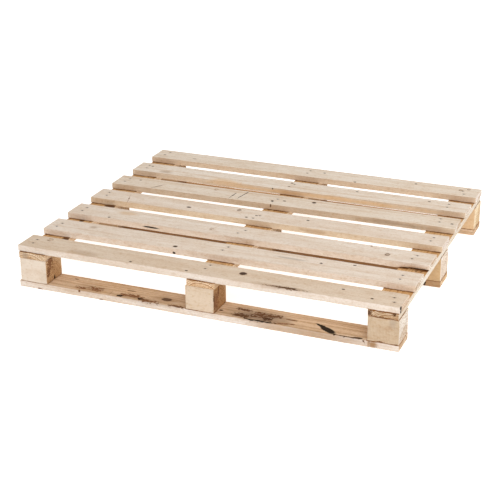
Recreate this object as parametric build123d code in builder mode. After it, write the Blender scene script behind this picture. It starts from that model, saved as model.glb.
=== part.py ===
"""Light 1200 x 1000 mm four-way block pallet: deck boards on stringer boards, blocks and bottom runners.

Frame: millimetres, +X along the deck boards, +Y from the front runner to the rear runner, +Z up.
Origin: the middle of the footprint, on the floor.
"""

import os

from build123d import *

# ---- Driving dimensions ----
LENGTH = 1200
WIDTH = 1000
BOARD_WIDTH = 90
BOARD_THICKNESS = 20
BLOCK_WIDTH = 90
BLOCK_HEIGHT = 75
DECK_COUNT = 7

# ---- Levels, from the floor up ----
RUNNER_TOP = BOARD_THICKNESS
BLOCK_TOP = RUNNER_TOP + BLOCK_HEIGHT
STRINGER_TOP = BLOCK_TOP + BOARD_THICKNESS
DECK_TOP = STRINGER_TOP + BOARD_THICKNESS

# ---- The even layout: three lines across the pallet, three rows along it, seven deck boards ----
LINE_NAMES = ("left", "middle", "right")
ROW_NAMES = ("front", "middle", "rear")
LINE_REACH = (LENGTH - BOARD_WIDTH) / 2
ROW_REACH = (WIDTH - BOARD_WIDTH) / 2
DECK_PITCH = (WIDTH - BOARD_WIDTH) / (DECK_COUNT - 1)
MIDDLE_BOARD = DECK_COUNT // 2
BOARDS_PER_ROW = MIDDLE_BOARD

# ---- How this pallet was really nailed up: small differences from the even layout ----
STRINGER_NUDGES = (3, 6, -3)
STRINGER_WIDTHS = (90, 88, 88)
STRINGER_TURNS = (0.15, 0.3, 0)
BLOCK_NUDGES = (6, 5, -1)
DECK_WIDTHS = (90, 92, 90, 89, 88, 86, 90)
DECK_NUDGES = (2, 0, -2, -1, 0, -3, -1)
DECK_TURNS = (-0.2, -0.1, 0.1, 0.15, 0.5, 0.1, -0.1)

# ---- Wire nails with flat heads ----
HEAD_RADIUS = 2.9
HEAD_THICKNESS = 1.1
HEAD_SINK = 0.5
SHANK_RADIUS = 1.3
POINT_LENGTH = 4
CROSSING_NAIL = 36
BLOCK_NAIL = 90
RUNNER_NAIL = 70

# Each deck board has a pair of nails at every line. A pair's two nails are a half spread to the
# front and rear of the board's middle. Its middle is moved by this much from the crossing's
# middle (x, y), and its two nails lean this much out of line (x).
NAIL_HALF_SPREAD = 14
PAIR_PLACES = (
    ((-14, 2, -2), (-1, 16, 4), (18, -4, -8)),
    ((-15, -1, 4), (-8, 11, 7), (-6, 0, 0)),
    ((-10, 0, 2), (-15, 4, 14), (-9, 4, 9)),
    ((-8, 3, -5), (-20, -14, 12), (4, 6, 3)),
    ((-12, -2, 6), (-20, -4, 9), (-13, 16, -3)),
    ((-9, 4, -3), (-19, 5, 10), (-21, 5, 0)),
    ((-10, 10, 8), (-12, 4, 3), (-4, -8, -10)),
)

# Each runner has three nails up into every block, one toward each end and one between.
RUNNER_NAIL_PLACES = ((-28, -22), (17, 31), (29, -16))

CORNER_ROUND = 0.8

front_to_rear = [i - 1 for i in range(3)]
line_x = [side * LINE_REACH for side in front_to_rear]
row_y = [side * ROW_REACH for side in front_to_rear]
stringer_x = [x + nudge for x, nudge in zip(line_x, STRINGER_NUDGES)]
block_x = [x + nudge for x, nudge in zip(line_x, BLOCK_NUDGES)]
deck_y = [(i - MIDDLE_BOARD) * DECK_PITCH + DECK_NUDGES[i] for i in range(DECK_COUNT)]


def nail(length):
    """One wire nail: its head's top is at the origin and its point is down."""
    with BuildPart() as made:
        with BuildSketch(Plane.XZ):
            with BuildLine():
                Polyline(
                    (0, 0),
                    (HEAD_RADIUS, 0),
                    (HEAD_RADIUS, -HEAD_THICKNESS),
                    (SHANK_RADIUS, -HEAD_THICKNESS),
                    (SHANK_RADIUS, POINT_LENGTH - length),
                    (0, -length),
                    close=True,
                )
            make_face()
        revolve(axis=Axis.Z)
    return made.part


def recess():
    """The dent that a driven nail's head leaves above itself."""
    with BuildPart() as made:
        Cylinder(HEAD_RADIUS, HEAD_SINK, align=(Align.CENTER, Align.CENTER, Align.MIN))
    return made.part


def board(length, width, thickness):
    """A sawn board along X, with its bottom at Z = 0 and its long edges just broken."""
    with BuildPart() as made:
        Box(length, width, thickness, align=(Align.CENTER, Align.CENTER, Align.MIN))
        fillet(made.edges().filter_by(Axis.X), CORNER_ROUND)
    return made.part


def deck_nail_spots(i):
    """The places of deck board i's nails, in the pallet's plan."""
    spots = []
    for x, (dx, dy, lean) in zip(stringer_x, PAIR_PLACES[i]):
        for end in (-1, 1):
            spots.append((x + dx + end * lean / 2, deck_y[i] + dy + end * NAIL_HALF_SPREAD))
    return spots


def runner_nail_spots(y):
    """The places of the nails that come up through the runner at y."""
    return [(x + dx, y + dy) for x in block_x for dx, dy in RUNNER_NAIL_PLACES]


# ---- Nails, placed before the wood so that each board can be bored by the same nails ----
long_nail = nail(BLOCK_NAIL)
short_nail = nail(CROSSING_NAIL)
up_nail = nail(RUNNER_NAIL).rotate(Axis.X, 180)
head_recess = recess()
up_recess = recess().rotate(Axis.X, 180)

deck_over_blocks = [i for i in range(DECK_COUNT) if i % BOARDS_PER_ROW == 0]
deck_between = [i for i in range(DECK_COUNT) if i % BOARDS_PER_ROW != 0]
deck_head_z = DECK_TOP - HEAD_SINK

long_spots = [(x, y, deck_head_z) for i in deck_over_blocks for x, y in deck_nail_spots(i)]
short_spots = [(x, y, deck_head_z) for i in deck_between for x, y in deck_nail_spots(i)]
up_spots = [(x, y, HEAD_SINK) for row in row_y for x, y in runner_nail_spots(row)]


def near(spots, solid_box):
    """The spots whose plan place is inside a part's box."""
    low, high = solid_box.min, solid_box.max
    return [s for s in spots if low.X < s[0] < high.X and low.Y < s[1] < high.Y]


def bore(wood):
    """Takes every nail that passes through the wood, and the dents over the heads, out of it."""
    box = wood.part.bounding_box()
    for spots, one_nail, one_recess in (
        (long_spots, long_nail, head_recess),
        (short_spots, short_nail, head_recess),
        (up_spots, up_nail, up_recess),
    ):
        here = near(spots, box)
        if here:
            with Locations(*here):
                add(one_nail, mode=Mode.SUBTRACT)
                add(one_recess, mode=Mode.SUBTRACT)


def keep(wood, name):
    """Labels a finished piece and writes it."""
    wood.part.label = name
    export_step(wood.part, f"parts/{name}.step")


os.makedirs("parts", exist_ok=True)

# ---- Deck boards, along X ----
for i in range(DECK_COUNT):
    with BuildPart() as deck_board:
        with Locations(Location((0, deck_y[i], STRINGER_TOP), (0, 0, DECK_TURNS[i]))):
            add(board(LENGTH, DECK_WIDTHS[i], BOARD_THICKNESS))
        bore(deck_board)
    keep(deck_board, f"deck_board_{i + 1}")

# ---- Stringer boards, along Y, on the blocks ----
for x, width, turn, line in zip(stringer_x, STRINGER_WIDTHS, STRINGER_TURNS, LINE_NAMES):
    with BuildPart() as stringer_board:
        with Locations(Location((x, 0, BLOCK_TOP), (0, 0, 90 + turn))):
            add(board(WIDTH, width, BOARD_THICKNESS))
        bore(stringer_board)
    keep(stringer_board, f"stringer_board_{line}")

# ---- Blocks, with their grain along X ----
for y, row in zip(row_y, ROW_NAMES):
    for x, line in zip(block_x, LINE_NAMES):
        with BuildPart() as block:
            with Locations((x, y, RUNNER_TOP)):
                add(board(BLOCK_WIDTH, BLOCK_WIDTH, BLOCK_HEIGHT))
            bore(block)
        keep(block, f"block_{row}_{line}")

# ---- Bottom runners, along X, under the blocks ----
for y, row in zip(row_y, ROW_NAMES):
    with BuildPart() as bottom_runner:
        with Locations((0, y, 0)):
            add(board(LENGTH, BOARD_WIDTH, BOARD_THICKNESS))
        bore(bottom_runner)
    keep(bottom_runner, f"bottom_runner_{row}")

# ---- The nails themselves, one node for each kind ----
for name, spots, one_nail in (
    ("deck_to_block_nails", long_spots, long_nail),
    ("deck_to_stringer_nails", short_spots, short_nail),
    ("runner_to_block_nails", up_spots, up_nail),
):
    with BuildPart() as nails:
        with Locations(*spots):
            add(one_nail)
    keep(nails, name)
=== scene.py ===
"""Looks for a light 1200 x 1000 mm four-way block pallet: rough sawn, knotty pine, nailed together.

Every board and block is a closed mesh of its own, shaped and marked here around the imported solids.
A piece's own axes are u, along its grain, v, across it, and w, up, all from the piece's middle.
Each mesh carries a few attributes that its wood material reads: where each point lies in the log
that it was sawn from, and how far it is from the nearest knot, stain, dark mark and nail.
"""

import math

import bpy
import numpy as np
from mathutils import Euler, Matrix, Vector


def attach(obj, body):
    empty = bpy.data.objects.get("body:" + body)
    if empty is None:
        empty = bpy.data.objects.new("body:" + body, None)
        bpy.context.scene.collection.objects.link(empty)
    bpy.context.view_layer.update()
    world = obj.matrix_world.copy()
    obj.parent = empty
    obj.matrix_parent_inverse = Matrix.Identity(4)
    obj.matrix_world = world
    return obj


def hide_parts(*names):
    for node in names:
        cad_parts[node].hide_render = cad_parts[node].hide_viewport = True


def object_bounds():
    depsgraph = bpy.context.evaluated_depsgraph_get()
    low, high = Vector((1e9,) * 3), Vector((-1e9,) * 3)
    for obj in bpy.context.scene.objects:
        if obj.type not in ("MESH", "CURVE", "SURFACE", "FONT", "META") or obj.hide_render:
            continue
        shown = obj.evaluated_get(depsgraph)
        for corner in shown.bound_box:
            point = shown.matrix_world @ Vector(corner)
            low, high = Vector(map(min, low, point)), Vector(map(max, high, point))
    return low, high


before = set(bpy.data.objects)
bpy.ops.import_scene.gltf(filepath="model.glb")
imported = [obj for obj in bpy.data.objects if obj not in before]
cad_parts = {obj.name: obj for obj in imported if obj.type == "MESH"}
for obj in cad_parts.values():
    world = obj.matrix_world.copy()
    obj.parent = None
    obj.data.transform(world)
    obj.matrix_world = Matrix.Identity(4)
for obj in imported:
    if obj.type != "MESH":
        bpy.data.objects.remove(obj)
cad_box = [list(corner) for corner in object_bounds()]

MM = 0.001
ON_FACE = 1e-7  # a grid point this close to a flat face lies on it
PALLET_FRONT = cad_box[0][1]


# ---------------------------------------------------------------- small helpers


def smooth(low, high, x):
    """0 below low, 1 above high and a smooth step between them."""
    t = np.clip((np.asarray(x, float) - low) / (high - low), 0, 1)
    return t * t * (3 - 2 * t)


def hash01(*cells):
    """A repeatable number from 0 to 1 for each whole-number cell."""
    mixed = np.zeros_like(np.asarray(cells[0]), dtype=np.uint64)
    for i, cell in enumerate(cells):
        step = np.asarray(cell).astype(np.int64).astype(np.uint64)
        mixed = (mixed ^ (step * np.uint64(0x9E3779B97F4A7C15 + 2 * i))) * np.uint64(0xBF58476D1CE4E5B9)
        mixed ^= mixed >> np.uint64(29)
    return (mixed >> np.uint64(11)).astype(float) / float(1 << 53)


def value_noise(points, seed):
    """Smooth noise from -1 to 1 with one bump per unit, at an (n, 3) array of points."""
    base = np.floor(points)
    t = points - base
    t = t * t * (3 - 2 * t)
    total = np.zeros(len(points))
    for corner in np.ndindex(2, 2, 2):
        weight = np.prod(np.where(np.array(corner) == 1, t, 1 - t), axis=1)
        cell = base + np.array(corner)
        total += weight * hash01(cell[:, 0], cell[:, 1], cell[:, 2], np.full(len(points), seed))
    return total * 2 - 1


# ---------------------------------------------------------------- a piece's place in the CAD model


class Place:
    """Where a board or block lies: its middle, its own three axes and its half sizes, in metres."""

    def __init__(self, node, along):
        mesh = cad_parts[node].data
        points = np.zeros(len(mesh.vertices) * 3)
        mesh.vertices.foreach_get("co", points)
        points = points.reshape(-1, 3)
        low, high = points.min(0), points.max(0)
        long_axis = "XY".index(along)
        cross_axis = 1 - long_axis
        ends = [points[np.abs(points[:, long_axis] - end[long_axis]) < MM] for end in (low, high)]
        edges = [(e[:, cross_axis].min(), e[:, cross_axis].max()) for e in ends]
        rise = (sum(edges[1]) - sum(edges[0])) / 2
        length = high[long_axis] - low[long_axis]
        turn = math.atan2(rise, length) * (1 if along == "X" else -1)
        turn += 0 if along == "X" else math.pi / 2
        self.u = np.array([math.cos(turn), math.sin(turn), 0])
        self.v = np.array([-math.sin(turn), math.cos(turn), 0])
        self.w = np.array([0, 0, 1.0])
        self.middle = (low + high) / 2
        spans = [(points - self.middle) @ axis for axis in (self.u, self.v, self.w)]
        self.half = np.array([(s.max() - s.min()) / 2 for s in spans])

    def local(self, points):
        """Points of the pallet as (u, v, w)."""
        return (np.asarray(points, float) - self.middle) @ np.array([self.u, self.v, self.w]).T

    def world(self, points):
        """Points (u, v, w) as points of the pallet."""
        return self.middle + points @ np.array([self.u, self.v, self.w])


def islands(node):
    """The low and high corner of the box around each loose solid of a CAD node, from left to right."""
    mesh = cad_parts[node].data
    parent = list(range(len(mesh.vertices)))

    def root(i):
        while parent[i] != i:
            parent[i] = parent[parent[i]]
            i = parent[i]
        return i

    seen = {}
    for vertex in mesh.vertices:
        key = tuple(round(c, 6) for c in vertex.co)
        parent[root(vertex.index)] = root(seen.setdefault(key, vertex.index))
    for edge in mesh.edges:
        parent[root(edge.vertices[0])] = root(edge.vertices[1])
    groups = {}
    for vertex in mesh.vertices:
        groups.setdefault(root(vertex.index), []).append(tuple(vertex.co))
    found = []
    for points in groups.values():
        found.append((np.min(points, 0), np.max(points, 0)))
    return sorted(found, key=lambda box: tuple(box[0]))


NAIL_NODES = ("deck_to_block_nails", "deck_to_stringer_nails", "runner_to_block_nails")
nail_boxes = {node: islands(node) for node in NAIL_NODES}
all_nail_boxes = [box for boxes in nail_boxes.values() for box in boxes]
nail_spots = np.array([(low + high) / 2 for low, high in all_nail_boxes])
nail_reach = np.array([(low[2], high[2]) for low, high in all_nail_boxes])
first_low, first_high = all_nail_boxes[0]
HEAD_RADIUS = (first_high[0] - first_low[0]) / 2


# ---------------------------------------------------------------- what marks each piece
# Places are in millimetres on the pallet: x from its middle and y from its front edge. A level is how
# high on the piece, where -1 is its bottom face and 1 its top face.

LEVELS = {"top": 1, "high": 0.7, "middle": 0, "low": -0.5, "bottom": -1}


def knot(x, y, radius, dark, stretch=1.0):
    """A branch's cut end, right through the board: dark is 0 for a live red knot and 1 for a black
    one, and stretch is how many times as long as wide it is."""
    return {"kind": "knot", "at": (x, y), "radius": radius, "dark": dark, "stretch": stretch}


def mark(x, y, length, width, tone, level="top", depth=4.0, edge=0.5, turn=0):
    """A dark spot, streak or bark pocket at the surface: length is along the grain before it is turned,
    by turn degrees, tone is 0 for brown and 1 for black, and edge is how ragged its outline is. An edge
    above 1.5 breaks it up into specks."""
    return {
        "kind": "mark", "at": (x, y), "size": (length / 2, width / 2, depth), "turn": turn,
        "tone": tone, "level": level, "edge": edge,
    }


def stain(x, y, length, width, tone, level="top", depth=8.0, strength=0.5):
    """A soft discoloured patch. tone is 0 for orange, 0.5 for brown and 1 for grey."""
    return dict(mark(x, y, length, width, tone, level, depth, strength), kind="stain")


def wane(edge, x, length, width, depth):
    """Bark edge left on a corner: edge is like 'front top', width is across and depth down."""
    return {"kind": "wane", "edge": edge, "x": x, "length": length, "width": width, "depth": depth}


def split(end, across, length, opening=1.2):
    """A split that runs in from an end: across is from the piece's middle line, in mm."""
    return {"kind": "split", "end": end, "across": across, "length": length, "opening": opening}


FEATURES = {
    "deck_board_1": [
        knot(-528, 75, 8, 0.6), knot(119, 55, 8.5, 0.93, 1.1),
        mark(-221, 14, 10, 7, 1), mark(-41, 15, 10, 7, 0.85),
        mark(512, 28, 10, 7, 0.85), mark(420, 58, 10, 7, 0.75),
        mark(270, 7, 96, 12, 0.6, edge=1.5), stain(265, 8, 160, 24, 0.6, strength=0.6),
        wane("front top", 262, 120, 5, 3),
        mark(600, 5, 7, 16, 1.0, "high", 5, 0.4), mark(600, 5, 5, 12, 1.0, "low", 5, 0.4),
        split("right", -24, 40), split("right", 31, 35, 0.9),
        stain(-380, 20, 120, 30, 0.5, strength=0.3),
    ],
    "deck_board_2": [
        knot(-149, 167, 5, 0.93, 1.2), stain(-455, 215, 34, 22, 0.5),
        mark(-146, 150, 11, 6, 1.0, "low", 4), stain(207, 207, 110, 14, 0.95, strength=0.4),
        mark(302, 207, 10, 7, 0.85), mark(398, 228, 10, 7, 0.75),
        split("left", 12, 40, 0.9),
    ],
    "deck_board_3": [
        mark(-452, 310, 10, 7, 0.75), mark(-297, 301, 60, 10, 1.0, "middle", 2.8, 0.25),
        stain(-410, 360, 80, 30, 0.2),
        knot(-105, 338, 6, 0.55), mark(400, 385, 8, 6, 0.3), knot(463, 340, 8, 0.75, 0.8),
        wane("front bottom", 562, 110, 30, 8), split("right", 20, 45),
    ],
    "deck_board_4": [
        mark(-471, 482, 58, 2.6, 0.0, edge=2.0, turn=-72),
        knot(-252, 485, 4.5, 0.9, 1.5), knot(-88, 520, 7, 0.75, 0.8),
        mark(-43, 470, 10, 7, 0.85), mark(-18, 495, 10, 7, 0.85), mark(150, 515, 10, 7, 0.95),
        stain(185, 455, 90, 8, 0.4, "middle"), split("right", -8, 50, 0.8),
    ],
    "deck_board_5": [
        mark(-520, 665, 10, 7, 0.75), mark(-436, 630, 50, 3.5, 0.4, edge=1.0, turn=57),
        knot(-237, 672, 6, 0.55),
        mark(-131, 655, 84, 4, 0.9, edge=0.9, turn=80),
        mark(-162, 640, 64, 4, 0.9, edge=0.9, turn=85),
        mark(-20, 640, 10, 7, 0.85), mark(18, 652, 10, 7, 0.85), knot(115, 672, 5.5, 0.95, 1.1),
        mark(582, 650, 10, 7, 0.85), mark(-14, 607, 5, 6, 0.4, "high", 7, 1.0),
        stain(420, 608, 320, 20, 0.7, "middle"), wane("front top", 590, 60, 10, 8),
        split("right", -30, 30),
    ],
    "deck_board_6": [
        stain(-475, 775, 60, 30, 0.5), mark(-548, 813, 10, 7, 0.75),
        stain(-245, 765, 120, 40, 0.0, strength=0.45),
        mark(-213, 752, 14, 6, 0.85), mark(-20, 825, 10, 7, 0.75), mark(215, 825, 10, 7, 0.75),
        mark(465, 820, 10, 7, 0.75), mark(-65, 758, 5, 6, 0.7, "high", 3),
        stain(100, 760, 900, 16, 0.1, "middle"),
    ],
    "deck_board_7": [
        mark(-443, 943, 16, 5, 0.6), mark(50, 965, 10, 7, 0.75), mark(178, 915, 10, 7, 0.75),
        mark(378, 972, 10, 7, 0.75), knot(535, 965, 5.5, 0.7), knot(560, 980, 5, 0.68),
        split("left", -10, 45),
    ],
    "bottom_runner_front": [
        stain(-365, 24, 130, 60, 0.5, strength=0.4), mark(-350, 26, 50, 26, 0.0, edge=2.2),
        mark(-392, 18, 40, 14, 0.0, edge=2.2), mark(-392, 0, 8, 8, 0.2, "high", 8, 0.8),
        mark(-262, 10, 24, 11, 1.0, edge=0.8), mark(-192, 12, 20, 10, 1.0, edge=0.8),
        mark(-225, 24, 80, 16, 0.0, edge=2.1), stain(-200, 14, 190, 30, 0.6, strength=0.6),
        mark(-244, 54, 30, 8, 0.3, edge=1.2), mark(-440, 70, 12, 5, 0.0, edge=1.0),
        knot(-118, 37, 8, 0.86, 1.7), stain(-118, 34, 120, 50, 0.5, strength=0.45),
        mark(-70, 6, 60, 12, 0.3, edge=1.2), mark(-165, 8, 70, 16, 0.1, edge=2.0),
        wane("front top", -150, 220, 9, 4), wane("front top", 460, 110, 6, 4),
        stain(175, 34, 210, 80, 0.75, strength=0.85), mark(182, 42, 56, 34, 0.4, edge=2.1),
        mark(206, 24, 34, 22, 0.7, edge=1.6), mark(128, 22, 60, 22, 0.5, edge=2.1),
        mark(120, 58, 50, 14, 0.4, edge=2.1), mark(222, 50, 40, 20, 0.4, edge=2.0),
        mark(60, 30, 14, 9, 0.8), mark(190, 4, 96, 8, 1.0, edge=0.9),
        mark(264, 14, 60, 7, 0.1, edge=1.1, turn=10), mark(276, 44, 40, 6, 0.2, edge=1.2),
        mark(388, 22, 62, 24, 1.0, edge=0.2, turn=-33), mark(362, 40, 44, 12, 1.0, edge=0.3, turn=-28),
        mark(458, 3, 80, 5, 0.7, edge=1.2), mark(484, 9, 22, 9, 0.9, edge=1.0),
        stain(360, 0, 400, 14, 0.42, "middle", 20, 0.6),
        stain(525, 0, 30, 14, 0.55, "middle", 14, 1.0), mark(514, 0, 8, 8, 0.6, "high", 6),
        mark(536, 0, 4, 8, 0.2, "low", 6), mark(503, 0, 3.5, 6, 0.4, "middle", 8),
        mark(-530, 0, 20, 6, 0.1, "bottom"), mark(-320, 0, 24, 6, 0.1, "bottom"),
        mark(-258, 0, 7, 6, 0.1, "bottom"),
    ],
    "bottom_runner_middle": [
        mark(549, 455, 13, 8, 0.9, "middle", 10), knot(-310, 498, 10, 0.6), knot(265, 520, 9, 0.8),
        stain(60, 500, 300, 60, 0.6),
    ],
    "bottom_runner_rear": [
        knot(-180, 962, 11, 0.7), knot(390, 940, 8, 0.5), stain(-300, 955, 260, 50, 0.5),
    ],
    "stringer_board_left": [
        mark(-514, 143, 20, 26, 0.5), mark(-522, 446, 20, 44, 0.5), mark(-545, 295, 16, 14, 0.8),
        knot(-560, 250, 9, 0.5), knot(-545, 720, 10, 0.8),
        stain(-575, 0, 60, 20, 0.8, "middle", 16, 0.5),
    ],
    "stringer_board_middle": [knot(20, 130, 8, 0.6), knot(-5, 580, 9, 0.9)],
    "stringer_board_right": [
        knot(570, 300, 9, 0.5), knot(540, 870, 8, 0.8), mark(511, 0, 16, 14, 0.6, "middle", 7, 0.9),
        mark(585, 0, 8, 8, 0.7, "high", 5), stain(545, 0, 70, 20, 0.5, "middle", 12, 0.35),
        # The two thin dark lines along the top and bottom edges of the front end are painted shade at
        # its joints.
        mark(552, 0, 4, 84, 0.5, "top", 2.2, 0.9), mark(552, 0, 4, 84, 0.5, "bottom", 2.2, 0.9),
    ],
    "block_front_left": [
        mark(-504, 46, 14, 9, 1.0, "bottom", 15, 0.3), mark(-504, 24, 8, 36, 0.1, "high", 27, 2.0),
        mark(-504, 14, 8, 20, 0.3, "middle", 20, 2.2),
    ],
    "block_front_middle": [
        stain(50, 8, 6, 44, 0.5, "low", 42, 0.95), mark(50, 20, 6, 30, 0.0, "middle", 26, 2.0),
        mark(50, 36, 6, 8, 0.3, "high", 24, 1.2), mark(50, 4, 6, 8, 0.4, "middle", 30, 1.5),
    ],
    "block_front_right": [
        # The two dark dashes at the bottom of the front face are painted shade at the joint with the
        # runner.
        stain(580, 0, 28, 20, 0.9, "high", 14, 0.35), mark(548, 0, 26, 6, 0.3, "bottom", 4, 0.9),
        mark(588, 0, 30, 6, 0.6, "bottom", 2.5, 0.8),
    ],
    "block_rear_left": [knot(-550, 960, 11, 0.6)],
}

# ---------------------------------------------------------------- board and block meshes


CLOSEST_LINES = 0.0004


def spaced(half, step, edge_steps, extra):
    """Grid lines from -half to half: fine ones at both ends, even ones between, and the extra ones."""
    count = max(2, round(2 * half / step))
    lines = set(np.linspace(-half, half, count + 1))
    lines |= {side * (half - s) for s in edge_steps for side in (-1, 1)}
    lines |= {x for x in extra if abs(x) < half}
    kept = []
    fixed = {-half, half}
    for x in sorted(lines):
        if kept and x - kept[-1] < CLOSEST_LINES:
            if x in fixed:
                kept[-1] = x
            continue
        kept.append(x)
    return np.array(kept)


def lattice(us, vs, ws):
    """The surface of a block of grid cells: its points (u, v, w) and its outward quads."""
    sides = [(axis, end) for axis in range(3) for end in (0, -1)]
    cuts = [(slice(None),) * axis + (end,) for axis, end in sides]
    shape = (len(us), len(vs), len(ws))
    shell = np.zeros(shape, bool)
    for cut in cuts:
        shell[cut] = True
    index = -np.ones(shape, int)
    index[shell] = np.arange(shell.sum())
    grid = np.stack(np.meshgrid(us, vs, ws, indexing="ij"), -1)[shell]
    quads = []
    for (axis, end), cut in zip(sides, cuts):
        face = index[cut]
        a, b, c, d = face[:-1, :-1], face[1:, :-1], face[1:, 1:], face[:-1, 1:]
        outward = (end == -1) != (axis == 1)
        ring = (a, b, c, d) if outward else (a, d, c, b)
        quads.append(np.stack([r.ravel() for r in ring], 1))
    return grid, np.concatenate(quads)


LINES = ("left", "middle", "right")
ROWS = ("front", "middle", "rear")
DECK_NODES = [f"deck_board_{i + 1}" for i in range(7)]
STRINGER_NODES = [f"stringer_board_{line}" for line in LINES]
BLOCK_NODES = [f"block_{row}_{line}" for row in ROWS for line in LINES]
RUNNER_NODES = [f"bottom_runner_{row}" for row in ROWS]
places = {node: Place(node, "X") for node in DECK_NODES + BLOCK_NODES + RUNNER_NODES}
places.update({node: Place(node, "Y") for node in STRINGER_NODES})

EDGE_STEPS = (0.0004, 0.001, 0.002, 0.0045)
END_ROUND = 0.8 * MM
LEAST_ROUND = 0.25 * MM
SPLIT_DEPTH = 5.5 * MM
DENT_DEPTH = 1.15 * MM
DENT_INNER, DENT_OUTER = 2.5 * MM, 4.3 * MM

# How far up a side a joint's painted shade line reaches, and how much narrower or wider it is on a
# tight or an open joint.
CONTACT_HEIGHT = 1.6 * MM
TIGHT_JOINT = 1.3 * MM
OPEN_JOINT = 0.5 * MM


class Wood:
    """One board or block: its grid, its rough shape and the attributes that its material reads."""

    def __init__(self, node, step, seed, rough=0.35, corner=0.9, slack=(0.0, 0.0)):
        self.node, self.seed, self.slack = node, seed, slack
        self.place = places[node]
        self.half = self.place.half
        self.random = np.random.default_rng(seed)
        self.features = FEATURES.get(node, [])
        self.corner, self.rough = corner * MM, rough * MM
        self.nails = self.near_nails()
        splits = self.features_of("split")
        around = [-4.2 * MM, -2.6 * MM, 0, 2.6 * MM, 4.2 * MM]
        extra_u = [n[0] + a for n in self.nails for a in around]
        extra_v = [n[1] + a for n in self.nails for a in around]
        extra_v += [(s["across"] + a * s["opening"]) * MM for s in splits for a in (-1, 0, 1)]
        a, b, c = self.half
        self.points, self.quads = lattice(
            spaced(a, step, EDGE_STEPS, extra_u),
            spaced(b, min(step, 5 * MM), EDGE_STEPS, extra_v),
            spaced(c, min(step, 6 * MM), EDGE_STEPS, []),
        )
        self.flat = self.points.copy()

    def near_nails(self):
        """The nails whose heads are at this piece's top or bottom face, as (u, v, which side)."""
        spots = self.place.local(nail_spots)
        inside = (np.abs(spots[:, 0]) < self.half[0]) & (np.abs(spots[:, 1]) < self.half[1])
        top = self.place.middle[2] + self.half[2]
        bottom = self.place.middle[2] - self.half[2]
        found = []
        for spot, (low, high) in zip(spots[inside], nail_reach[inside]):
            if abs(high - top) < 2 * MM:
                found.append((spot[0], spot[1], 1))
            if abs(low - bottom) < 2 * MM:
                found.append((spot[0], spot[1], -1))
        return found

    def wander(self, per_metre, seed):
        """Noise at the flat grid's points, drawn out along the grain."""
        return value_noise(self.flat * np.array(per_metre) + self.seed * 7.31, seed)

    def shape(self):
        """Rounds the long edges unevenly, cuts the bark edges and eases the ends."""
        a, b, c = self.half
        u, v, w = self.points.T
        across, up = v.copy(), w.copy()
        for side_v in (-1, 1):
            for side_w in (-1, 1):
                still = u * 0
                coarse = np.stack([u * 45, still + side_v * 3, still + side_w * 3], 1)
                fine = np.stack([u * 170, still + side_v, still + side_w], 1)
                worn = value_noise(coarse, self.seed)
                worn += 0.6 * value_noise(fine, self.seed + 1)
                radius_v = self.corner * (1 + 0.55 * worn)
                radius_w = self.corner * (1 + 0.45 * worn)
                for f in self.features:
                    if f["kind"] == "wane" and self.wane_side(f) == (side_v, side_w):
                        there = f["x"] * MM - self.place.middle[0]
                        along = np.abs(u - there) / (f["length"] / 2 * MM)
                        fade = 1 - smooth(0.55, 1.0, along + 0.12 * worn)
                        radius_v += fade * f["width"] * MM * (1 + 0.25 * worn)
                        radius_w += fade * f["depth"] * MM * (1 + 0.25 * worn)
                radius_v = np.clip(radius_v, LEAST_ROUND, b * 0.9)
                radius_w = np.clip(radius_w, LEAST_ROUND, c * 0.9)
                dv = side_v * v - (b - radius_v)
                dw = side_w * w - (c - radius_w)
                inside = (dv > 0) & (dw > 0)
                length = np.hypot(dv / radius_v, dw / radius_w)
                length = np.where(inside, np.maximum(length, 1e-9), 1)
                on_skin = inside & (
                    (np.abs(side_v * v - b) < ON_FACE) | (np.abs(side_w * w - c) < ON_FACE)
                )
                across = np.where(on_skin, side_v * (b - radius_v + dv / length), across)
                up = np.where(on_skin, side_w * (c - radius_w + dw / length), up)
        end_gap = a - np.abs(u)
        inset = END_ROUND * (1 - np.sqrt(1 - np.clip(1 - end_gap / END_ROUND, 0, 1) ** 2))
        across *= 1 - inset / b
        up *= 1 - inset / c
        self.points = np.stack([u, across, up], 1)

    def wane_side(self, f):
        """The sides (v, w) of the long edge that a bark edge is on, each -1 or 1."""
        edge_v, edge_w = f["edge"].split()
        return (-1 if edge_v == "front" else 1, -1 if edge_w == "bottom" else 1)

    def outward(self):
        """Each point's outward normal on the flat grid, averaged at edges."""
        normal = np.zeros_like(self.flat)
        for axis in range(3):
            on = np.abs(np.abs(self.flat[:, axis]) - self.half[axis]) < ON_FACE
            normal[on, axis] = np.sign(self.flat[on, axis])
        return normal / np.linalg.norm(normal, axis=1, keepdims=True)

    def roughen(self):
        """Saw marks, torn grain and soft hollows, all of them into the wood."""
        normal = self.outward()
        end = np.abs(normal[:, 0]) > 0.9
        deep = 0.5 + 0.5 * self.wander((14, 60, 60), 11)
        torn = 0.5 + 0.5 * self.wander((60, 420, 420), 12)
        across_end = 0.5 + 0.5 * self.wander((10, 260, 260), 13)
        depth = self.rough * np.where(end, 1.3 * across_end + 0.3, 0.55 * deep + 0.6 * torn)
        lying = np.abs(normal[:, 2]) * np.where(normal[:, 2] > 0, *self.slack) * MM
        depth += lying * (0.7 + 0.3 * self.wander((9, 14, 3), 14))
        self.points = self.points - normal * depth[:, None]

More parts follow.
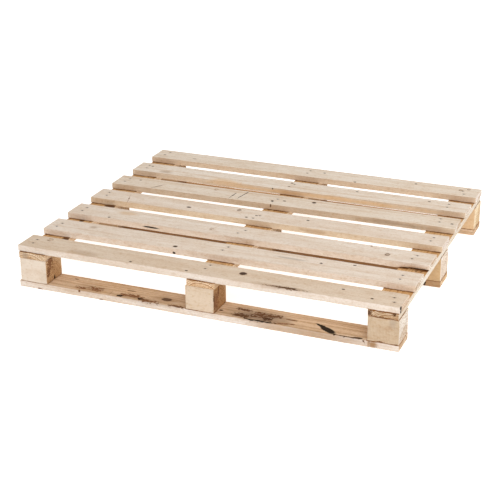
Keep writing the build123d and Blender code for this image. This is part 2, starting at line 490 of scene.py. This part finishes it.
    def joint_shade(self):
        """How far inside a touching piece's print each point is, limited by how close it is to the
        joint: above 0 only at the joint itself. The wood material paints shade there, as a contact
        shadow. Stringers sit tight on their blocks, except on the right, and deck boards sit a little
        open. Right-hand pieces get less painted shade on their outer sides, where the light falls."""
        best = np.full(len(self.flat), -3 * MM)
        world = self.place.world(self.flat)
        for name, other in places.items():
            above = other.middle[2] - other.half[2] - self.place.middle[2] - self.half[2]
            below = self.place.middle[2] - self.half[2] - other.middle[2] - other.half[2]
            if name == self.node or min(abs(above), abs(below)) > MM:
                continue
            level = self.half[2] if abs(above) < MM else -self.half[2]
            inside = 0.4 * ((other.half - np.abs(other.local(world)))[:, :2].min(1) + 2 * MM)
            joint = np.minimum(inside, CONTACT_HEIGHT - np.abs(self.flat[:, 2] - level))
            pair = name + self.node
            if "stringer" in pair and "block" in pair and "right" not in name:
                joint = joint - TIGHT_JOINT
            if "deck" in pair:
                joint = joint + OPEN_JOINT
            best = np.maximum(best, joint)
        # Less painted shade on the outer sides of right-hand pieces, where the light falls.
        facing = self.outward() @ np.array([self.place.u, self.place.v, self.place.w])
        outer = (facing[:, 0] >= 0.6) & ("right" in self.node)
        return np.where(outer, best - TIGHT_JOINT, best)

    def dent_nails(self):
        """Presses the wood in under each nail's head."""
        for nail_u, nail_v, side in self.nails:
            far = np.hypot(self.flat[:, 0] - nail_u, self.flat[:, 1] - nail_v)
            there = np.abs(side * self.flat[:, 2] - self.half[2]) < ON_FACE
            press = (1 - smooth(DENT_INNER, DENT_OUTER, far)) * there * DENT_DEPTH
            self.points[:, 2] -= side * press

    def open_splits(self):
        """Cuts a groove that follows the grain in from an end, over the top, the end and the bottom."""
        for f in self.features_of("split"):
            end = 1 if f["end"] in ("right", "rear") else -1
            inward = self.half[0] - end * self.flat[:, 0]
            run = np.clip(1 - inward / (f["length"] * MM), 0, 1)
            on_line = np.abs(self.flat[:, 1] - f["across"] * MM) < 0.05 * MM
            depth = SPLIT_DEPTH * run**0.7 * on_line
            normal = self.outward()
            self.points -= normal * depth[:, None]

    def features_of(self, kind):
        """This piece's features of one kind."""
        return [f for f in self.features if f["kind"] == kind]

    def spot(self, f):
        """A feature's middle in (u, v, w)."""
        x, y = f["at"]
        at = self.place.local([x * MM, PALLET_FRONT + y * MM, self.place.middle[2]])
        at[2] = LEVELS[f.get("level", "middle")] * self.half[2]
        return at

    def nearest(self, features, sizes, reach):
        """For each point, its offset from the nearest feature in that feature's own sizes, whether it
        is too far off or between two features to be marked, from 0 to 1, and which feature that is."""
        count = len(self.flat)
        if not features:
            return np.zeros((count, 3)), np.ones(count), np.zeros(count, int)
        offsets, gaps = [], []
        for f, size in zip(features, np.array(sizes)):
            angle = math.radians(f.get("turn", 0))
            cos, sin = math.cos(angle), math.sin(angle)
            u, v, w = (self.flat - self.spot(f)).T
            offset = np.stack((u * cos + v * sin, v * cos - u * sin, w), 1)
            gap = np.linalg.norm(np.maximum(np.abs(offset) - size, 0), axis=1)
            inside = np.linalg.norm(offset / size, axis=1)
            offsets.append(offset / size)
            gaps.append(gap / max(reach * MM, 1.2 * max(size[:2])) + 0.001 * inside)
        gaps, offsets = np.array(gaps), np.array(offsets)
        which = gaps.argmin(0)
        rows = np.arange(count)
        near = gaps[which, rows]
        second = np.sort(gaps, 0)[1] if len(features) > 1 else near + 9
        contested = smooth(1.2, 0.3, second - near) * smooth(0.05, 0.25, near)
        return offsets[which, rows], np.maximum(smooth(1.0, 1.6, near), contested), which

    def attributes(self, mesh, pith, look):
        """Writes what the wood material reads."""
        count = len(self.flat)
        log = self.flat - np.array([0, pith[0], pith[1]])
        log[:, 0] += self.random.uniform(5, 60)
        knots = self.features_of("knot")
        sizes = [(k["radius"] * k["stretch"] * MM, k["radius"] * MM, 1) for k in knots]
        rel, far, which = self.nearest(knots, sizes, 26)
        rel[:, 2] = 10 * far
        facts = [(k["radius"] * MM, k["dark"], i * 3.7) for i, k in enumerate(knots)]
        facts = np.array(facts or [(0, 0, 0)])
        layers = {
            "log": log,
            "knot": rel,
            "knot_facts": facts[which],
            "facing": self.outward() ** 2,
            "face_tint": np.tile(look[0], (count, 1)),
            "side_tint": np.tile(look[1], (count, 1)),
            "end_tint": np.tile(look[2], (count, 1)),
        }
        for kind in ("mark", "stain"):
            found = self.features_of(kind)
            sizes = [np.array(f["size"]) * MM for f in found]
            rel, far, which = self.nearest(found, sizes, 10)
            facts = np.array([(f["tone"], f["edge"], 0) for f in found] or [(0, 0, 0)])[which]
            facts[:, 2] = 10 * far
            layers[kind], layers[kind + "_facts"] = rel, facts
        layers["nail"] = self.nail_layer()
        for name, values in layers.items():
            layer = mesh.attributes.new(name, "FLOAT_VECTOR", "POINT")
            layer.data.foreach_set("vector", values.astype(np.float32).ravel())
        layer = mesh.attributes.new("joint_shade", "FLOAT", "POINT")
        layer.data.foreach_set("value", (self.joint_shade() / MM).astype(np.float32))

    def nail_layer(self):
        """Offset from the nearest nail on this side, in head radii, and out of reach as the third."""
        rel = np.zeros((len(self.flat), 3))
        rel[:, 2] = 10
        best = np.full(len(self.flat), 9.0)
        for nail_u, nail_v, side in self.nails:
            offset = (self.flat[:, :2] - np.array([nail_u, nail_v])) / HEAD_RADIUS
            far = np.linalg.norm(offset, axis=1)
            there = (far < best) & (np.abs(side * self.flat[:, 2] - self.half[2]) < ON_FACE)
            best = np.where(there, far, best)
            rel[there, :2] = offset[there]
            rel[there, 2] = 10 * smooth(4.5, 7.5, far[there])
        return rel

    def build(self, material, pith, look):
        """The finished piece, in place of its CAD node."""
        self.shape()
        self.roughen()
        self.dent_nails()
        self.open_splits()
        mesh = bpy.data.meshes.new(self.node + "_wood")
        mesh.from_pydata(self.place.world(self.points).tolist(), [], self.quads.tolist())
        self.attributes(mesh, pith, look)
        mesh.polygons.foreach_set("use_smooth", [True] * len(mesh.polygons))
        mesh.update()
        piece = bpy.data.objects.new(self.node + "_wood", mesh)
        bpy.context.scene.collection.objects.link(piece)
        mesh.materials.append(material)
        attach(piece, "root")
        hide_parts(self.node)
        return piece


# ---------------------------------------------------------------- material helpers


class Tree:
    """Short ways to add shader nodes. Those that add one give back its output socket or sockets."""

    def __init__(self, name):
        self.material = bpy.data.materials.new(name)
        self.material.use_nodes = True
        self.nodes = self.material.node_tree.nodes
        self.links = self.material.node_tree.links
        self.nodes.clear()

    def plug(self, value, socket):
        """Links a socket, sets a plain value, or leaves the socket alone for None."""
        if isinstance(value, bpy.types.NodeSocket):
            self.links.new(value, socket)
        elif value is not None:
            socket.default_value = value

    def attribute(self, name, output="Vector"):
        node = self.nodes.new("ShaderNodeAttribute")
        node.attribute_name = name
        return node.outputs[output]

    def math(self, operation, a, b=None, c=None):
        node = self.nodes.new("ShaderNodeMath")
        node.operation = operation
        for socket, value in zip(node.inputs, (a, b, c)):
            self.plug(value, socket)
        return node.outputs[0]

    def length(self, vector):
        node = self.nodes.new("ShaderNodeVectorMath")
        node.operation = "LENGTH"
        self.plug(vector, node.inputs[0])
        return node.outputs["Value"]

    def split(self, vector):
        node = self.nodes.new("ShaderNodeSeparateXYZ")
        self.plug(vector, node.inputs[0])
        return node.outputs

    def join(self, x, y, z):
        node = self.nodes.new("ShaderNodeCombineXYZ")
        for socket, value in zip(node.inputs, (x, y, z)):
            self.plug(value, socket)
        return node.outputs[0]

    def noise(self, vector, scale=1.0, detail=2.0, rough=0.5):
        node = self.nodes.new("ShaderNodeTexNoise")
        self.plug(vector, node.inputs["Vector"])
        self.plug(scale, node.inputs["Scale"])
        self.plug(detail, node.inputs["Detail"])
        self.plug(rough, node.inputs["Roughness"])
        return node.outputs["Fac"]

    def random(self, value):
        node = self.nodes.new("ShaderNodeTexWhiteNoise")
        node.noise_dimensions = "1D"
        self.plug(value, node.inputs["W"])
        return node.outputs["Value"]

    def step(self, value, low, high, to_low=0.0, to_high=1.0):
        node = self.nodes.new("ShaderNodeMapRange")
        node.interpolation_type = "SMOOTHSTEP"
        for socket, x in zip(node.inputs, (value, low, high, to_low, to_high)):
            self.plug(x, socket)
        return node.outputs[0]

    def mix(self, share, a, b, blend="MIX"):
        node = self.nodes.new("ShaderNodeMix")
        node.data_type = "RGBA"
        node.blend_type = blend
        self.plug(share, node.inputs["Factor"])
        for socket, value in ((node.inputs[6], a), (node.inputs[7], b)):
            self.plug((*value, 1) if isinstance(value, tuple) else value, socket)
        return node.outputs[2]

    def mix_value(self, share, a, b):
        """A number from a, where share is 0, to b, where it is 1."""
        return self.math("MULTIPLY_ADD", share, b - a, a)

    def bump(self, height, distance, strength):
        node = self.nodes.new("ShaderNodeBump")
        node.inputs["Strength"].default_value = strength
        node.inputs["Distance"].default_value = distance
        self.plug(height, node.inputs["Height"])
        return node.outputs[0]

    def finish(self, colour, roughness, normal, **settings):
        """Adds the shader and gives back the finished material."""
        shader = self.nodes.new("ShaderNodeBsdfPrincipled")
        self.plug(colour, shader.inputs["Base Color"])
        self.plug(roughness, shader.inputs["Roughness"])
        self.plug(normal, shader.inputs["Normal"])
        for name, value in settings.items():
            shader.inputs[name.replace("_", " ")].default_value = value
        out = self.nodes.new("ShaderNodeOutputMaterial")
        self.links.new(shader.outputs[0], out.inputs[0])
        return self.material


def wood(name, early, late, ring_gap, rings, streaks, saw_lines, dirt):
    """Sawn pine. Its rings are cylinders about the log's pith that flow around knots, so that faces,
    edges and end grain all agree. early and late are a ring's pale and dark colours, and rings,
    streaks, saw_lines and dirt are how strong each is, 0 to 1."""
    t = Tree(name)
    log = t.split(t.attribute("log"))
    knot_at = t.split(t.attribute("knot"))
    knot_radius, knot_dark, knot_seed = t.split(t.attribute("knot_facts"))
    end, side, face = t.split(t.attribute("facing"))

    def drawn(u_scale, v_scale, detail=2.0, rough=0.5, from_v=None):
        """Noise with u_scale bumps per metre along the grain and v_scale across it."""
        across = log[1] if from_v is None else from_v
        scales = ((log[0], u_scale), (across, v_scale), (log[2], v_scale))
        scaled = (t.math("MULTIPLY", x, scale) for x, scale in scales)
        return t.noise(t.join(*scaled), 1.0, detail, rough)

    # The grain parts around each knot as water does around a post.
    reach = t.math("MULTIPLY", knot_at[0], 0.5)
    reach = t.math("MULTIPLY", reach, reach)
    reach = t.math("MULTIPLY_ADD", knot_at[1], knot_at[1], reach)
    reach = t.math("MULTIPLY_ADD", knot_at[2], knot_at[2], reach)
    shove = t.math("DIVIDE", t.math("MULTIPLY", knot_at[1], knot_radius), t.math("MAXIMUM", reach, 0.8))
    v = t.math("SUBTRACT", log[1], shove)

    # The trunk was never quite straight or round.
    sway = t.math("MULTIPLY_ADD", drawn(1.6, 6, from_v=v), 0.034, -0.017)
    ripple = t.math("MULTIPLY_ADD", drawn(9, 40, from_v=v), 0.0050, -0.0025)
    v = t.math("ADD", v, t.math("ADD", sway, ripple))
    radius = t.math("SQRT", t.math("MULTIPLY_ADD", v, v, t.math("MULTIPLY", log[2], log[2])))

    # Yearly rings: pale wood that darkens slowly to a thin line.
    uneven = t.noise(t.join(t.math("MULTIPLY", radius, 90), 0.0, 0.0), 1, 1)
    age = t.math("ADD", t.math("DIVIDE", radius, ring_gap), t.math("MULTIPLY", uneven, 1.6))
    part = t.math("FRACT", age)
    line = t.math("MULTIPLY", t.step(part, 0.3, 0.88), t.step(part, 1.0, 0.93))
    line = t.math("MULTIPLY", line, t.math("MULTIPLY_ADD", t.random(t.math("FLOOR", age)), 0.8, 0.2))

    # Fibres drawn out along the grain, torn fuzz across them, and slow changes of shade.
    thread = drawn(5, 330, 3, 0.6, v)
    fuzz = drawn(150, 800, 4, 0.75, v)
    fleck = drawn(110, 170, 3, 0.65)
    cloud = drawn(4, 30, 3, 0.55, v)
    patch = drawn(11, 22, 4, 0.6)
    mottle = drawn(26, 60, 3, 0.65)

    def darker(share, colour, times):
        return t.mix(share, colour, t.mix(1.0, colour, times, "MULTIPLY"))

    colour = t.mix(t.math("MULTIPLY", line, t.mix_value(side, rings, 0.35 * rings)), early, late)
    colour = darker(t.step(thread, 0.3, 0.75, 0.0, streaks), colour, (0.90, 0.86, 0.81))
    colour = darker(t.step(fuzz, 0.35, 0.68, 0.0, streaks), colour, (0.82, 0.75, 0.67))
    colour = darker(t.step(fleck, 0.5, 0.75), colour, (0.88, 0.81, 0.72))
    colour = darker(t.step(cloud, 0.38, 0.7, 0.0, streaks), colour, (0.90, 0.83, 0.75))
    colour = darker(t.step(mottle, 0.45, 0.75), colour, (0.92, 0.87, 0.82))
    colour = t.mix(t.math("MULTIPLY", t.step(patch, 0.52, 0.78), dirt), colour, (0.34, 0.27, 0.21))

    # The saw left faint lines across the grain here and there.
    slant = t.math("MULTIPLY_ADD", log[1], 0.45, log[0])
    saw = t.math("SINE", t.math("MULTIPLY_ADD", slant, 1500, t.math("MULTIPLY", mottle, 9)))
    sawn = t.math("MULTIPLY", t.step(saw, -0.2, 0.9), t.step(patch, 0.6, 0.42, 0.0, saw_lines))
    colour = darker(sawn, colour, (0.86, 0.83, 0.80))

    # Cut ends show their rings more, darker heartwood and small dark pores.
    pores = drawn(1, 230, 4, 0.8, v)
    ends = darker(t.step(radius, 0.066, 0.060, 0.0, 0.6), colour, (0.74, 0.60, 0.46))
    ends = darker(line, ends, (0.50, 0.36, 0.25))
    ends = darker(t.step(pores, 0.5, 0.62), ends, (0.58, 0.45, 0.34))
    colour = t.mix(end, colour, ends)

    # This piece's tints of face, side and end: partly its own tone, partly painted light and shade.
    shade = t.mix(side, t.attribute("face_tint"), t.attribute("side_tint"))
    shade = t.mix(end, shade, t.attribute("end_tint"))
    colour = t.mix(1.0, colour, shade, "MULTIPLY")

    # Soft stains.
    stain_tone, stain_edge, stain_far = t.split(t.attribute("stain_facts"))
    blot = t.length(t.attribute("stain"))
    blot = t.math("ADD", blot, t.math("MULTIPLY_ADD", patch, 1.6, -0.8))
    blot = t.math("ADD", blot, t.math("MULTIPLY_ADD", thread, 0.9, -0.45))
    blot = t.math("ADD", blot, t.math("MULTIPLY_ADD", fuzz, 0.9, -0.45))
    blot = t.math("ADD", blot, stain_far)
    stain_colour = t.mix(t.step(stain_tone, 0.0, 0.5), (0.76, 0.45, 0.19), (0.34, 0.20, 0.105))
    stain_colour = t.mix(t.step(stain_tone, 0.5, 1.0), stain_colour, (0.25, 0.21, 0.18))
    stained = t.math("MULTIPLY", t.step(blot, 1.3, 0.3), stain_edge)
    colour = t.mix(stained, colour, stain_colour)

    # Knots: rings round a heart, a thin dark rim that is broken on a live one, redder wood around.
    own_u = t.math("ADD", knot_at[0], knot_seed)
    wobble = t.noise(t.join(own_u, knot_at[1], 0.0), 1.3, 2)
    knot_far = t.length(t.attribute("knot"))
    knot_far = t.math("ADD", knot_far, t.math("MULTIPLY_ADD", wobble, 0.6, -0.3))
    heart = t.step(knot_far, 1.06, 0.9)
    knot_rings = t.math("FRACT", t.math("MULTIPLY", knot_far, 3.5))
    live = t.mix(0.2, colour, (0.60, 0.36, 0.20))
    live = darker(t.step(knot_rings, 0.2, 0.9), live, (0.86, 0.76, 0.66))
    knot_colour = t.mix(t.step(knot_dark, 0.6, 1.0), live, (0.030, 0.012, 0.007))
    halo = t.math("MULTIPLY", t.step(knot_far, 2.0, 0.9), 0.22)
    colour = t.mix(halo, colour, (0.60, 0.38, 0.22))
    colour = t.mix(heart, colour, knot_colour)
    rim = t.math("MULTIPLY", t.step(knot_far, 0.70, 0.92), t.step(knot_far, 1.35, 1.08))
    whole = t.step(t.noise(t.join(own_u, knot_at[1], 7.7), 0.9, 1), 0.42, 0.55)
    whole = t.math("MAXIMUM", whole, t.step(knot_dark, 0.55, 0.9))
    inked = t.math("MULTIPLY", rim, t.math("MULTIPLY", whole, 0.85))
    colour = t.mix(inked, colour, (0.09, 0.045, 0.028))

    # Dark spots, streaks and bark.
    mark_tone, mark_edge, mark_far = t.split(t.attribute("mark_facts"))
    ragged = drawn(130, 260, 3)
    torn = t.math("MULTIPLY", t.math("SUBTRACT", ragged, 0.5), t.math("MULTIPLY", mark_edge, 2.6))
    dark = t.math("ADD", t.length(t.attribute("mark")), mark_far)
    dark = t.math("ADD", dark, torn)
    mark_colour = t.mix(mark_tone, (0.24, 0.11, 0.05), (0.012, 0.007, 0.005))
    colour = t.mix(t.step(dark, 1.15, 0.75, 0.0, 0.96), colour, mark_colour)

    # Painted shade: each joint and a thin band beside it turn deep brown, as a contact shadow would.
    joint = t.math("ADD", t.attribute("joint_shade", "Fac"), t.math("MULTIPLY_ADD", ragged, 2.0, -1.0))
    joint = t.math("MULTIPLY", t.step(joint, -0.4, 0.8), t.step(mottle, 0.36, 0.56, 0.25, 0.95))
    colour = t.mix(joint, colour, (0.25, 0.10, 0.028))

    # Iron from the nails turns the wood around them grey brown.
    nail_at = t.split(t.attribute("nail"))
    nail_far = t.length(t.join(t.math("MULTIPLY", nail_at[0], 0.6), nail_at[1], nail_at[2]))
    nail_far = t.math("ADD", nail_far, t.math("MULTIPLY_ADD", thread, 1.2, -0.6))
    iron = t.step(nail_far, 2.0, 0.9, 0.0, 0.3)
    colour = t.mix(iron, colour, (0.24, 0.16, 0.11))

    height = t.math("MULTIPLY_ADD", line, 0.5, thread)
    height = t.math("MULTIPLY_ADD", fuzz, 1.5, height)
    height = t.math("MULTIPLY_ADD", saw, 0.10, height)
    height = t.math("SUBTRACT", height, t.math("MULTIPLY", rim, 1.5))
    rough = t.step(fuzz, 0.2, 0.8, 0.68, 0.92)
    rough = t.math("SUBTRACT", rough, t.math("MULTIPLY", heart, 0.2))
    return t.finish(colour, rough, t.bump(height, 0.6 * MM, 0.8), Specular_IOR_Level=0.04)


def nail_steel():
    """Dark, dull wire with brown rust in places."""
    t = Tree("nail_steel")
    place = t.nodes.new("ShaderNodeTexCoord").outputs["Object"]
    speck = t.noise(place, 900, 4, 0.65)
    bloom = t.noise(place, 160, 3)
    colour = t.mix(t.step(speck, 0.35, 0.7), (0.040, 0.030, 0.024), (0.13, 0.105, 0.09))
    colour = t.mix(t.step(bloom, 0.45, 0.7, 0.0, 0.8), colour, (0.085, 0.036, 0.017))
    rough = t.step(speck, 0.3, 0.7, 0.45, 0.8)
    return t.finish(colour, rough, t.bump(speck, 0.15 * MM, 0.6), Metallic=0.3)


# ---------------------------------------------------------------- nails


# The domed head's outline from its middle out and down: in head radii, and in millimetres.
HEAD_OUTLINE = ((0, 0), (0.45, 0), (0.8, -0.05), (0.95, -0.14), (1, -0.3), (1, -1), (0.92, -1.2))
SHANK_RINGS = 14


def nail_mesh(boxes, name, head_up, seed):
    """All the nails of one kind: domed heads, ringed shanks and cut points."""
    rng = np.random.default_rng(seed)
    points, faces = [], []
    sides = 20
    for low, high in boxes:
        radius = (high[0] - low[0]) / 2
        shank = radius * 0.43
        length = high[2] - low[2]
        middle = (low + high) / 2
        outline = [(r * radius, z * MM) for r, z in HEAD_OUTLINE]
        outline.append((shank, -1.3 * MM))
        for i in range(SHANK_RINGS):
            z = -0.35 * length - i * 0.035 * length
            outline += [(shank, z), (shank, z - 0.004 * length), (shank * 0.86, z - 0.008 * length)]
        outline += [(shank, -length + 4 * MM), (shank * 0.25, -length + 0.3 * MM)]
        tip = -length
        tilt = Euler((rng.normal(0, 0.012), rng.normal(0, 0.012), rng.uniform(0, 6.28)))
        turn = np.array(tilt.to_matrix())
        start = len(points)
        made = [(0, 0, outline[0][1])]
        for r, z in outline[1:]:
            for k in range(sides):
                angle = 2 * math.pi * k / sides
                made.append((r * math.cos(angle), r * math.sin(angle), z))
        made.append((0, 0, tip))
        made = np.array(made)
        shallow = np.clip(1 + made[:, 2:] / (6 * MM), 0, 1)
        made = made * (1 - shallow) + (made @ turn.T) * shallow
        if not head_up:
            made = made * np.array([1, -1, -1])
        top = high[2] if head_up else low[2]
        points += (made + np.array([middle[0], middle[1], top])).tolist()
        last = len(outline) - 1
        for k in range(sides):
            after = (k + 1) % sides
            faces.append([start, start + 1 + k, start + 1 + after])
            for ring in range(last - 1):
                a = start + 1 + ring * sides
                faces.append([a + k, a + sides + k, a + sides + after, a + after])
            a = start + 1 + (last - 1) * sides
            faces.append([a + k, start + len(made) - 1, a + after])
    mesh = bpy.data.meshes.new(name)
    mesh.from_pydata(points, [], faces)
    mesh.polygons.foreach_set("use_smooth", [True] * len(mesh.polygons))
    mesh.update()
    piece = bpy.data.objects.new(name, mesh)
    bpy.context.scene.collection.objects.link(piece)
    return piece


# ---------------------------------------------------------------- build the pallet

deck_wood = wood(
    "deck_pine", (0.915, 0.82, 0.72), (0.72, 0.53, 0.37), 4.0 * MM,
    rings=0.35, streaks=0.6, saw_lines=0.6, dirt=0.10,
)
stringer_wood = wood(
    "stringer_pine", (0.80, 0.66, 0.50), (0.52, 0.34, 0.20), 5.0 * MM,
    rings=0.8, streaks=1.0, saw_lines=0.2, dirt=0.15,
)
block_wood = wood(
    "block_pine", (0.86, 0.76, 0.63), (0.66, 0.49, 0.33), 4.2 * MM,
    rings=0.2, streaks=0.25, saw_lines=0.9, dirt=0.12,
)
runner_wood = wood(
    "runner_pine", (0.80, 0.66, 0.51), (0.46, 0.28, 0.15), 6.0 * MM,
    rings=0.8, streaks=1.0, saw_lines=0.2, dirt=0.35,
)
steel = nail_steel()

# Tints of each piece's faces, sides and ends over its wood's own colour. Some are the piece's own tone,
# as on the darker first deck board; many are painted light and shade: darker, warmer sides on the deck
# boards further back, darker faces, sides and ends on the pieces that lie in shade under the deck, such
# as the inner blocks and the middle and rear runners, and lighter sides and ends where the lamps fall.
PLAIN = (1.0, 1.0, 1.0)
DECK_LOOKS = (
    ((0.86, 0.81, 0.75), (0.84, 0.84, 0.86), (0.80, 0.76, 0.72)),
    ((0.95, 0.94, 0.94), (0.98, 0.96, 0.95), (0.90, 0.98, 1.06)),
    ((0.96, 0.96, 0.97), (0.91, 0.89, 0.88), (0.91, 0.96, 1.01)),
    ((0.96, 0.95, 0.95), (0.85, 0.78, 0.67), (0.88, 0.94, 1.04)),
    ((0.96, 0.96, 0.95), (0.78, 0.71, 0.62), (0.88, 0.94, 1.00)),
    ((1.00, 1.02, 1.04), (0.81, 0.75, 0.67), (0.90, 0.97, 1.05)),
    ((0.99, 1.00, 1.00), (0.79, 0.71, 0.62), (0.95, 1.03, 1.15)),
)
# Where the middle of the log lay from each deck board's middle, across and up, in millimetres.
DECK_PITHS = ((8, -70), (-25, -55), (15, 60), (-5, -80), (30, -50), (-12, 70), (20, -65))
STRINGER_FACE = (0.95, 0.76, 0.52)
STRINGER_LOOKS = (
    (STRINGER_FACE, PLAIN, (1.12, 1.16, 1.20)),
    (STRINGER_FACE, PLAIN, (1.18, 1.18, 1.18)),
    (STRINGER_FACE, (0.94, 1.10, 1.34), (0.94, 0.95, 0.96)),
)
RUNNER_LOOKS = (
    ((1.12, 1.10, 1.07), (1.04, 1.17, 1.43), (0.98, 1.03, 1.08)),
    ((0.52, 0.38, 0.25), (0.60, 0.51, 0.41), (1.12, 1.14, 1.10)),
    ((1.00, 0.76, 0.50), (0.9, 0.9, 0.9), PLAIN),
)
SHADED_INNER_BLOCK = (PLAIN, (0.50, 0.38, 0.27), (0.66, 0.55, 0.44))
BLOCK_LOOKS = (
    (PLAIN, (0.85, 0.83, 0.84), (0.88, 0.74, 0.56)),
    (PLAIN, (0.77, 0.71, 0.66), (0.74, 0.57, 0.38)),
    (PLAIN, (0.64, 0.56, 0.48), (0.90, 0.97, 1.08)),
    SHADED_INNER_BLOCK,
    SHADED_INNER_BLOCK,
    (PLAIN, (0.66, 0.54, 0.38), (1.10, 1.26, 1.52)),
    SHADED_INNER_BLOCK,
    SHADED_INNER_BLOCK,
    (PLAIN, (0.82, 0.70, 0.54), (1.03, 1.02, 0.91)),
)

# The size of a mesh's cells.
BOARD_STEP = 7 * MM
BLOCK_STEP = 5 * MM

for i, node in enumerate(DECK_NODES):
    board = Wood(node, BOARD_STEP, 20 + i)
    board.build(deck_wood, np.array(DECK_PITHS[i]) * MM, DECK_LOOKS[i])
for i, node in enumerate(STRINGER_NODES):
    board = Wood(node, BOARD_STEP, 40 + i, rough=0.4, corner=0.7, slack=(0.35, 0.15))
    board.build(stringer_wood, np.array([12 - 20 * i, -60]) * MM, STRINGER_LOOKS[i])
for i, node in enumerate(RUNNER_NODES):
    board = Wood(node, BOARD_STEP, 50 + i)
    board.build(runner_wood, np.array([-15 + 18 * i, 62]) * MM, RUNNER_LOOKS[i])
for i, node in enumerate(BLOCK_NODES):
    block = Wood(node, BLOCK_STEP, 60 + i, rough=0.4, corner=0.75, slack=(0.1, 0.3))
    rng = np.random.default_rng(90 + i)
    pith = np.array([rng.uniform(-60, 60), rng.uniform(-70, -20)]) * MM
    block.build(block_wood, pith, BLOCK_LOOKS[i])
for i, node in enumerate(NAIL_NODES):
    nails = nail_mesh(nail_boxes[node], node + "_wire", node != "runner_to_block_nails", 120 + i)
    nails.data.materials.append(steel)
    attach(nails, "root")
    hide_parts(node)

# ---------------------------------------------------------------- stage, light and camera

FLOOR_REACH = 30.0
FLOOR_GAP = 0.5 * MM
SKY_STRENGTH = 0.66

# Softboxes: name, place and power. All are the same size and point at the pallet's middle.
SOFTBOXES = (
    ("key", (1.9, -3.1, 2.8), 69),
    ("right", (3.8, 0.4, 2.2), 52),
    ("fill", (-3.2, -1.6, 2.2), 4),
)
SOFTBOX_SIZE = 2.4
PALLET_MIDDLE = (0, 0, 0.05)

CAMERA_PLACE = (1.3566, -3.3782, 1.5437)
CAMERA_LENS = 87.68
CAMERA_AZIMUTH = math.radians(22.510)
CAMERA_ELEVATION = math.radians(22.766)
CAMERA_ROLL = math.radians(-0.420)


def floor():
    """A white studio floor that stays nearly white in soft shade."""
    reach = FLOOR_REACH
    corners = [(-reach, -reach, 0), (reach, -reach, 0), (reach, reach, 0), (-reach, reach, 0)]
    mesh = bpy.data.meshes.new("studio_floor")
    mesh.from_pydata(corners, [], [(0, 1, 2, 3)])
    piece = bpy.data.objects.new("studio_floor", mesh)
    bpy.context.scene.collection.objects.link(piece)
    piece.location.z = -FLOOR_GAP
    glow = {"Emission_Color": (1, 1, 1, 1), "Emission_Strength": 0.6}
    paint = Tree("studio_floor").finish((0.9, 0.9, 0.9, 1), 0.9, None, Specular_IOR_Level=0.0, **glow)
    mesh.materials.append(paint)


def soft_light(name, place, power):
    """A square softbox at place, pointed at the pallet's middle."""
    data = bpy.data.lights.new(name, "AREA")
    data.shape = "SQUARE"
    data.size = SOFTBOX_SIZE
    data.energy = power
    lamp = bpy.data.objects.new(name, data)
    bpy.context.scene.collection.objects.link(lamp)
    lamp.location = place
    aim = Vector(PALLET_MIDDLE) - Vector(place)
    lamp.rotation_euler = aim.to_track_quat("-Z", "Y").to_euler()


def camera():
    """The view of the pallet from in front and a little to the right."""
    level = math.cos(CAMERA_ELEVATION)
    back = Vector((
        math.sin(CAMERA_AZIMUTH) * level,
        -math.cos(CAMERA_AZIMUTH) * level,
        math.sin(CAMERA_ELEVATION),
    ))
    right = (-back).cross(Vector((0, 0, 1))).normalized()
    up = right.cross(-back)
    turned_right = math.cos(CAMERA_ROLL) * right + math.sin(CAMERA_ROLL) * up
    turned_up = -math.sin(CAMERA_ROLL) * right + math.cos(CAMERA_ROLL) * up
    data = bpy.data.cameras.new("camera")
    data.sensor_width = 36
    data.lens = CAMERA_LENS
    made = bpy.data.objects.new("camera", data)
    bpy.context.scene.collection.objects.link(made)
    turn = Matrix((turned_right, turned_up, back)).transposed()
    made.matrix_world = Matrix.Translation(CAMERA_PLACE) @ turn.to_4x4()
    bpy.context.scene.camera = made


world = bpy.data.worlds.new("studio")
world.use_nodes = True
background = world.node_tree.nodes["Background"]
background.inputs["Color"].default_value = (1, 1, 1, 1)
background.inputs["Strength"].default_value = SKY_STRENGTH
bpy.context.scene.world = world
bpy.context.scene.view_settings.view_transform = "Standard"
floor()
for name, place, power in SOFTBOXES:
    soft_light(name, place, power)
camera()
